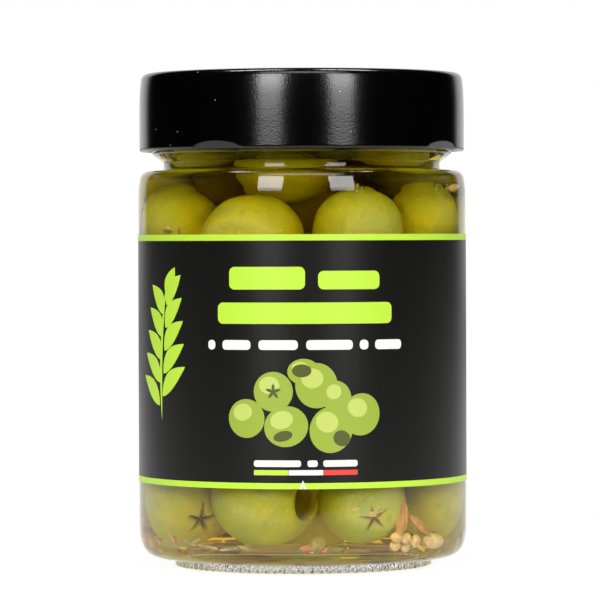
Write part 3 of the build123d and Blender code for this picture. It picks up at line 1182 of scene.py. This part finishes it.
# %% [markdown]
# ## Lacquer, paper and inks
# The lid wears a satin black lacquer that was rolled on flat sheet, so it carries a fine
# grain, and its inside has a grey coating. The paper is coated and printed black on its
# front and bare on its back, and its inks lie on it as thin satin films. Each of these is
# even in tone and gloss, so its colour and roughness are set on the shader itself, and only
# the grain comes from a noise.

# %% Opaque materials


def satin(name, colour, roughness, grain=900.0, depth=0.003, specular=0.5):
    """A satin surface with a fine grain: grain is in cycles a metre, depth in millimetres."""
    material, tree, output = new_material(name)
    place = node(tree, "ShaderNodeTexCoord").outputs["Object"]
    fine = node(tree, "ShaderNodeTexNoise", {"Vector": place, "Scale": grain, "Detail": 2.0})
    bump = node(tree, "ShaderNodeBump", {
        "Height": fine.outputs["Fac"], "Strength": 1.0, "Distance": depth * MM})
    body = node(tree, "ShaderNodeBsdfPrincipled", {
        "Base Color": ink(colour), "Roughness": roughness,
        "Specular IOR Level": specular, "Normal": bump.outputs[0]})
    tree.links.new(body.outputs[0], output.inputs["Surface"])
    return material


# %% Lid: lacquer, dust and the coating inside
# The bumps of the lacquer are 0.4 mm apart. A few white specks of dust lie on it, a fifth of
# a millimetre across, at most one to a cell.
BLACK = "#020202"
DUST_CELL = 4 * MM
SPECK = 0.026

lacquer = satin("lacquered_tinplate", BLACK, 0.15, 2500.0, 0.018, specular=0.57)
tree = lacquer.node_tree
place = tree.nodes["Texture Coordinate"].outputs["Object"]
dust = node(tree, "ShaderNodeTexVoronoi", {"Vector": place, "Scale": 1 / DUST_CELL})
on_speck = node(tree, "ShaderNodeMath", {0: dust.outputs["Distance"], 1: SPECK},
                operation="LESS_THAN")
dusty = node(tree, "ShaderNodeMix", {
    "Factor": on_speck.outputs[0], "A": ink(BLACK), "B": ink("#C8C8C4")}, data_type="RGBA")
tree.links.new(dusty.outputs["Result"], tree.nodes["Principled BSDF"].inputs["Base Color"])
dressed(lid, lacquer, satin("lid_inner_coating", "#4A4A46", 0.4))
coated = 0
for face in lid.data.polygons:
    if face.center.z / MM > LID_FOOT + 2.5 * CURL and (inward(face, 0.5) or face.normal.z < -0.5):
        face.material_index = 1
        coated += 1
print("coated faces", coated)

# %% Label: paper and inks
dressed(paper, satin("coated_black_paper", "#0E0E0C", 0.33, specular=0.35),
        satin("bare_paper_back", "#E6E2D6", 0.7))
bare = 0
for face in paper.data.polygons:
    if inward(face, 0) and math.hypot(face.center.x, face.center.y) < BODY * MM:
        face.material_index = 1
        bare += 1
print("bare faces", bare)

inks = {
    lime: ("lime_ink", "#B6E038"),
    white: ("white_ink", "#E6E6E0"),
    red: ("red_ink", "#DE3A30"),
    heap_bodies: ("olive_ink", "#93A832"),
    heap_lights: ("pale_olive_ink", "#B9C860"),
    heap_holes: ("dark_olive_ink", "#4E5416"),
}
for piece, (name, colour) in inks.items():
    dressed(piece, satin(name, colour, 0.4))
print("inks", len(inks))

# %% [markdown]
# ## What each piece stands for
# Every piece rides on the one body of the jar and, where it stands in for a CAD solid, hides
# that solid. A table names the material slot that each piece stands for; no slot is given to it.

# %% Rides, slots and replacements
slots = {
    jar: "jar_glass", lid: "lid_lacquer", paper: "label_paper", oil: "oil",
    lime: "lime_ink", white: "white_ink", red: "red_ink", heap_bodies: "olive_ink",
    heap_lights: "olive_ink", heap_holes: "olive_ink", olive_heap: "olive_flesh",
    fennel: "spice", pale: "spice", flat: "spice", slivers: "spice", chilli: "spice",
    pepper: "spice", bubbles: "oil",
}
for piece, slot in slots.items():
    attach(piece, "root")
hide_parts("glass_jar")
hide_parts("lid")
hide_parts("label")
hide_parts("oil_and_olives")
print("pieces", len(slots))

# %% [markdown]
# ## The floor
# The jar stands on a pale floor that shows as white to the eye, and through glass. It keeps
# a soft shadow close to the jar. A white table top, a disc about a point behind the jar, is
# what lacquer and glass mirror. It also shines on the jar from below, as a lit table does.

# %% Floor
# Places and distances on the floor are in metres.
TABLE_MIDDLE = (0, 0.55, 0)
TABLE_WHITE = 0.72
TABLE_END = 0.8
SHADOW_FROM = 0.03
SHADOW_END = 0.2
UNDER_FROM = 0.026
UNDER_END = 0.0295

bpy.ops.mesh.primitive_plane_add(size=6, location=(0, 0, -0.02 * MM))
floor = added("floor")
settled(floor)
material, tree, output = new_material("pale_floor")
path = node(tree, "ShaderNodeLightPath")
spot = node(tree, "ShaderNodeTexCoord").outputs["Object"]
# The disc fades out between 0.17 and 0.25 m in front of the jar's axis.
middle = node(tree, "ShaderNodeVectorMath", {0: spot, 1: TABLE_MIDDLE}, operation="DISTANCE")
table = node(tree, "ShaderNodeMapRange", {
    "Value": middle.outputs["Value"], "From Min": TABLE_END, "From Max": TABLE_WHITE}).outputs[0]
# Painted light: within the disc the floor glows for scattered rays too, so a floor that is no lamp
# lights the jar from below.
mirrored_or_glowing = node(tree, "ShaderNodeMath", {
    0: path.outputs["Is Glossy Ray"], 1: path.outputs["Is Diffuse Ray"]}, operation="MAXIMUM")
mirrored_or_glowing = node(tree, "ShaderNodeMath", {0: mirrored_or_glowing.outputs[0], 1: table}, operation="MULTIPLY")
seen = node(tree, "ShaderNodeMath", {
    0: path.outputs["Is Camera Ray"], 1: mirrored_or_glowing.outputs[0]}, operation="MAXIMUM")
seen = node(tree, "ShaderNodeMath", {
    0: seen.outputs[0], 1: path.outputs["Is Transmission Ray"]}, operation="MAXIMUM")
away = node(tree, "ShaderNodeVectorMath", {0: spot}, operation="LENGTH").outputs["Value"]
# Near the jar a little of the matt floor shows, with the shadow on it.
plain = node(tree, "ShaderNodeMapRange", {
    "Value": away, "From Min": SHADOW_FROM, "From Max": SHADOW_END, "To Min": 0.93,
    "To Max": 1.0})
most = node(tree, "ShaderNodeMath", {
    0: seen.outputs[0], 1: plain.outputs[0]}, operation="MULTIPLY")
cloth = node(tree, "ShaderNodeMix", {
    "Factor": table, "A": ink("#202020"), "B": ink("#F2F2F0")}, data_type="RGBA")
matt = node(tree, "ShaderNodeBsdfDiffuse", {"Color": cloth.outputs["Result"]})
# Painted light: under the jar the floor glows warm, standing in for the only light that reaches it
# there, which came through the oil.
under = node(tree, "ShaderNodeMapRange", {
    "Value": away, "From Min": UNDER_FROM, "From Max": UNDER_END})
painted_oil_glow = node(tree, "ShaderNodeMix", {
    "Factor": under.outputs[0], "A": ink("#E8DCA8"), "B": (1, 1, 1, 1)}, data_type="RGBA")
glow = node(tree, "ShaderNodeEmission", {"Color": painted_oil_glow.outputs["Result"], "Strength": 1.0})
both = node(tree, "ShaderNodeMixShader", {
    0: most.outputs[0], 1: matt.outputs[0], 2: glow.outputs[0]})
tree.links.new(both.outputs[0], output.inputs["Surface"])
dressed(floor, material)
print("floor", len(tree.nodes), "nodes")

# %% [markdown]
# ## The sky
# The world stands for the rest of the studio. The eye sees it white. Lacquer and the outside
# of the glass mirror a white wall straight behind the jar and near darkness elsewhere. What
# is seen through the glass is about half as bright on the camera's side, and what lights the
# matt surfaces is a dim room, brighter overhead.

# %% Sky
ROOM_LIGHT = 0.4
world = bpy.data.worlds.new("studio")
bpy.context.scene.world = world
world.use_nodes = True
tree = world.node_tree
tree.nodes.clear()
output = node(tree, "ShaderNodeOutputWorld")
way = node(tree, "ShaderNodeTexCoord").outputs["Generated"]
split = node(tree, "ShaderNodeSeparateXYZ", {0: way})
# The wall is white within about 36 degrees of straight back: the y part of the way is 0.8.
wall = node(tree, "ShaderNodeMapRange", {
    "Value": split.outputs["Y"], "From Min": 0.76, "From Max": 0.84,
    "To Min": 0.002, "To Max": 1.0})
through = node(tree, "ShaderNodeMapRange", {
    "Value": split.outputs["Y"], "From Min": -0.3, "From Max": 0.5,
    "To Min": 0.55, "To Max": 1.0})
room_light = node(tree, "ShaderNodeMapRange", {
    "Value": split.outputs["Z"], "From Min": -0.1, "From Max": 0.8,
    "To Min": 0.5 * ROOM_LIGHT, "To Max": 2.2 * ROOM_LIGHT})
path = node(tree, "ShaderNodeLightPath")
level = node(tree, "ShaderNodeMix", {
    0: path.outputs["Is Glossy Ray"], 2: room_light.outputs[0], 3: wall.outputs[0]},
    data_type="FLOAT")
level = node(tree, "ShaderNodeMix", {
    0: path.outputs["Is Transmission Ray"], 2: level.outputs[0], 3: through.outputs[0]},
    data_type="FLOAT")
strength = node(tree, "ShaderNodeMix", {
    0: path.outputs["Is Camera Ray"], 2: level.outputs[0], 3: 1.0}, data_type="FLOAT")
sky = node(tree, "ShaderNodeBackground", {"Color": (1, 1, 1, 1), "Strength": strength.outputs[0]})
tree.links.new(sky.outputs[0], output.inputs["Surface"])
print("sky", len(tree.nodes), "nodes")

# %% [markdown]
# ## The lamps
# Two soft boxes stand left and right of the camera and make the two bands of light on the
# lid. A low one under each lights the foot. A broad one above the camera fills the front,
# and two narrow ones hang over the sides of the jar.

# %% Lamps
LIT_POINT = Vector((0, 0, 80 * MM))
lamps = [
    # name, azimuth, elevation, distance, width, height, glow
    ("box_left", -22, 18.0, 1.2, 0.36, 0.34, 10.0),
    ("box_foot_left", -22, 5.9, 1.2, 0.34, 0.165, 4.8),
    ("box_right", 28, 18.0, 1.2, 0.36, 0.34, 8.5),
    ("box_foot_right", 28, 5.9, 1.2, 0.34, 0.165, 4.8),
    ("fill", 0, 46, 1.2, 1.1, 0.5, 3.0),
    ("over_left", -90, 73, 1.0, 0.15, 0.38, 18.0),
    ("over_right", 90, 73, 1.0, 0.15, 0.38, 18.0),
]


def soft_box(name, azimuth, elevation, distance, width, height, glow):
    """A lamp that faces the jar. Azimuth 0 is the camera's side; glow is its radiance."""
    lamp = bpy.data.lights.new(name, "AREA")
    lamp.shape = "RECTANGLE"
    lamp.size, lamp.size_y = width, height
    lamp.energy = glow * math.pi * width * height
    box = bpy.data.objects.new(name, lamp)
    a, e = math.radians(azimuth), math.radians(elevation)
    way = Vector((math.sin(a) * math.cos(e), -math.cos(a) * math.cos(e), math.sin(e)))
    box.location = LIT_POINT + way * distance
    box.rotation_euler = (-way).to_track_quat("-Z", "Y").to_euler()
    bpy.context.collection.objects.link(box)


for lamp in lamps:
    soft_box(*lamp)
print("lamps", len(lamps))

# %% [markdown]
# ## Closing
# The Standard view shows each colour as the light makes it.

# %% Close
bpy.context.scene.view_settings.view_transform = "Standard"
